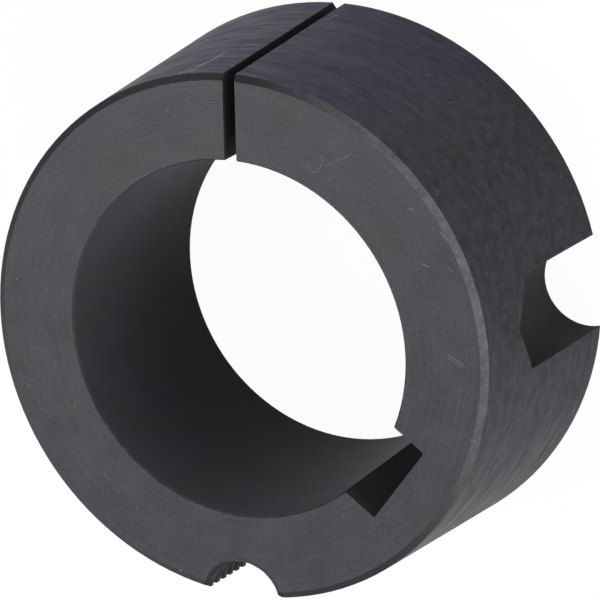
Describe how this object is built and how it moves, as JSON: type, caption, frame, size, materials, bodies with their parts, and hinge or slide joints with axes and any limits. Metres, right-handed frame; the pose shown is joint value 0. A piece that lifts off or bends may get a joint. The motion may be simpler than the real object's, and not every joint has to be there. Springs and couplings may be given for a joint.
{
  "type": "taper lock bushing",
  "caption": "Split tapered ring that clamps a keyed shaft into a hub, with plain half-round screw pockets, a threaded jacking half-hole and a keyway.",
  "frame": {"origin": "centre of the tapered seat in the large-end face", "axes": "+Z along the bore towards the small end, +Y towards the split"},
  "size_m": [0.0694, 0.0692, 0.0318],
  "materials": {
    "phosphated_iron": "turned grey cast iron with a dark phosphate finish, matt to satin"
  },
  "bodies": {
    "root": {"bushing": "phosphated_iron"}
  },
  "joints": []
}
